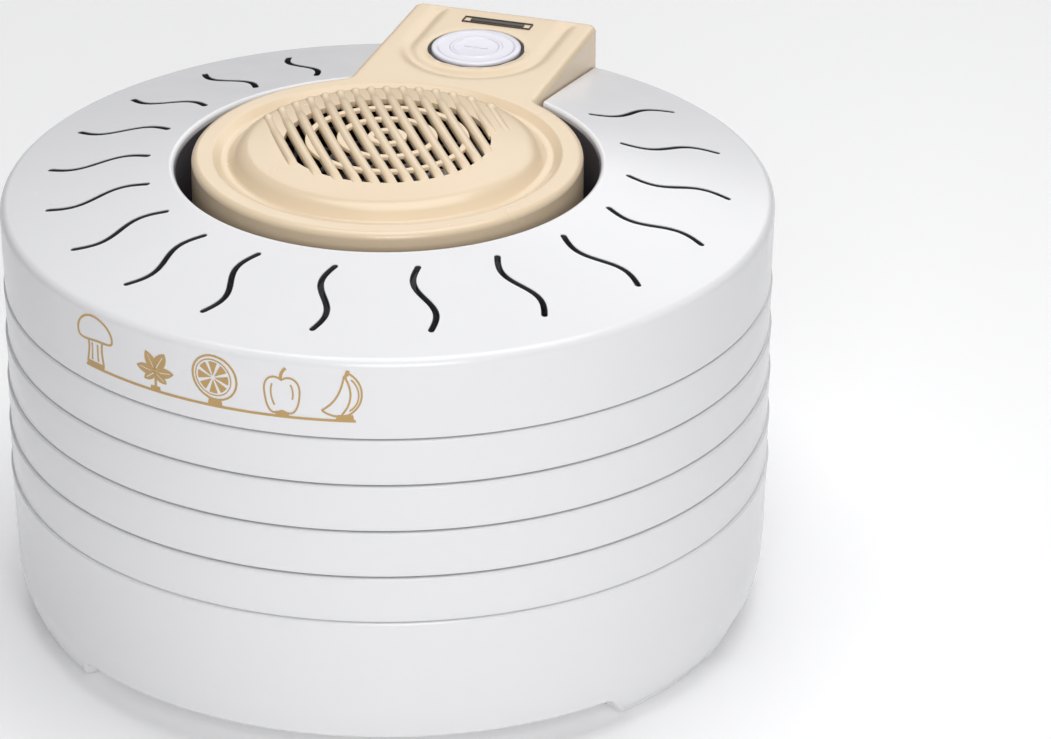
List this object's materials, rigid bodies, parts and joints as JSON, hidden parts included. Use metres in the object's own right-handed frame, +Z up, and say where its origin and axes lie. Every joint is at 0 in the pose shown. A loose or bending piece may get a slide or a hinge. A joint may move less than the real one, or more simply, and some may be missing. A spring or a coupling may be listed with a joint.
{
  "type": "food dehydrator",
  "caption": "Round stacking food dehydrator with a footed bowl, perforated trays, a conical vented lid and a lift-out fan and heater unit with a push button.",
  "frame": {"origin": "on the ground under the middle of the stack", "axes": "+Z up along the stack, +Y towards the back, along the tongue that carries the push button"},
  "size_m": [0.33, 0.33, 0.2175],
  "materials": {
    "white_shell": "glossy moulded white",
    "cream_shell": "satin moulded cream",
    "rubber_foot": "matt rubber",
    "black_moulding": "matt heat-resistant plastic",
    "fan_plastic": "moulded nylon",
    "copper_winding": "enamelled copper and bronze",
    "lamination": "varnished steel laminations",
    "insulator": "mica and ceramic",
    "lead_sleeve": "silicone sleeving",
    "button_plastic": "glossy pale lilac white",
    "badge": "dark printed plate without letters",
    "steel": "plated steel"
  },
  "bodies": {
    "base": {"base_bowl": "white_shell", "foot_1": "white_shell", "foot_2": "white_shell", "foot_3": "white_shell"},
    "tray_4_body": {"tray_4_ring": "white_shell", "tray_4_floor": "white_shell"},
    "tray_3_body": {"tray_3_ring": "white_shell", "tray_3_floor": "white_shell"},
    "tray_2_body": {"tray_2_ring": "white_shell", "tray_2_floor": "white_shell"},
    "tray_1_body": {"tray_1_ring": "white_shell", "tray_1_floor": "white_shell"},
    "lid": {"lid_cover": "white_shell", "lid_well": "white_shell"},
    "power_unit": {"top_housing": "cream_shell", "intake_guard": "black_moulding", "bottom_housing": "black_moulding", "outlet_guard": "steel", "housing_screw_1": "steel", "housing_screw_2": "steel", "housing_screw_3": "steel", "housing_screw_4": "steel", "tongue_cover": "black_moulding", "cover_screw": "steel", "badge_plate": "badge", "button_guide": "cream_shell", "switch_body": "black_moulding", "button_spring": "steel", "stator_stack": "lamination", "coil_bobbin": "black_moulding", "stator_coil": "copper_winding", "lower_bearing_bracket": "steel", "upper_bearing_bracket": "steel", "lower_bearing": "copper_winding", "upper_bearing": "copper_winding", "motor_mount": "steel", "mount_screw_1": "steel", "mount_screw_2": "steel", "motor_bolt_1": "steel", "motor_bolt_2": "steel", "mica_board_1": "insulator", "mica_board_2": "insulator", "heater_coil_1": "steel", "heater_coil_2": "steel", "thermostat": "black_moulding", "thermal_fuse": "insulator", "terminal_block": "insulator", "motor_lead_1": "lead_sleeve", "motor_lead_2": "lead_sleeve", "heater_lead": "lead_sleeve", "thermostat_lead": "lead_sleeve", "switch_lead": "lead_sleeve", "supply_lead": "lead_sleeve", "cord_gland": "rubber_foot"},
    "fan": {"rotor": "lamination", "motor_shaft": "steel", "fan_impeller": "fan_plastic", "fan_nut": "steel"},
    "button": {"power_button": "button_plastic", "switch_plunger": "black_moulding"}
  },
  "joints": [
    {"name": "tray_4_lift", "type": "slide", "parent": "base", "child": "tray_4_body", "axis": [0, 0, 1], "range_m": [0, 0.06]},
    {"name": "tray_3_lift", "type": "slide", "parent": "tray_4_body", "child": "tray_3_body", "axis": [0, 0, 1], "range_m": [0, 0.06]},
    {"name": "tray_2_lift", "type": "slide", "parent": "tray_3_body", "child": "tray_2_body", "axis": [0, 0, 1], "range_m": [0, 0.06]},
    {"name": "tray_1_lift", "type": "slide", "parent": "tray_2_body", "child": "tray_1_body", "axis": [0, 0, 1], "range_m": [0, 0.06]},
    {"name": "lid_lift", "type": "slide", "parent": "tray_1_body", "child": "lid", "axis": [0, 0, 1], "range_m": [0, 0.06]},
    {"name": "power_unit_lift", "type": "slide", "parent": "lid", "child": "power_unit", "axis": [0, 0, 1], "range_m": [0, 0.06]},
    {"name": "fan_spin", "type": "hinge", "parent": "power_unit", "child": "fan", "pos_m": [0, 0, 0.1763], "axis": [0, 0, 1], "continuous": true},
    {"name": "button_press", "type": "slide", "parent": "power_unit", "child": "button", "axis": [0, 0, -1], "range_m": [0, 0.0025], "stiffness_N_per_m": 600, "springref_m": -0.0008, "deforming": ["button_spring"]}
  ]
}
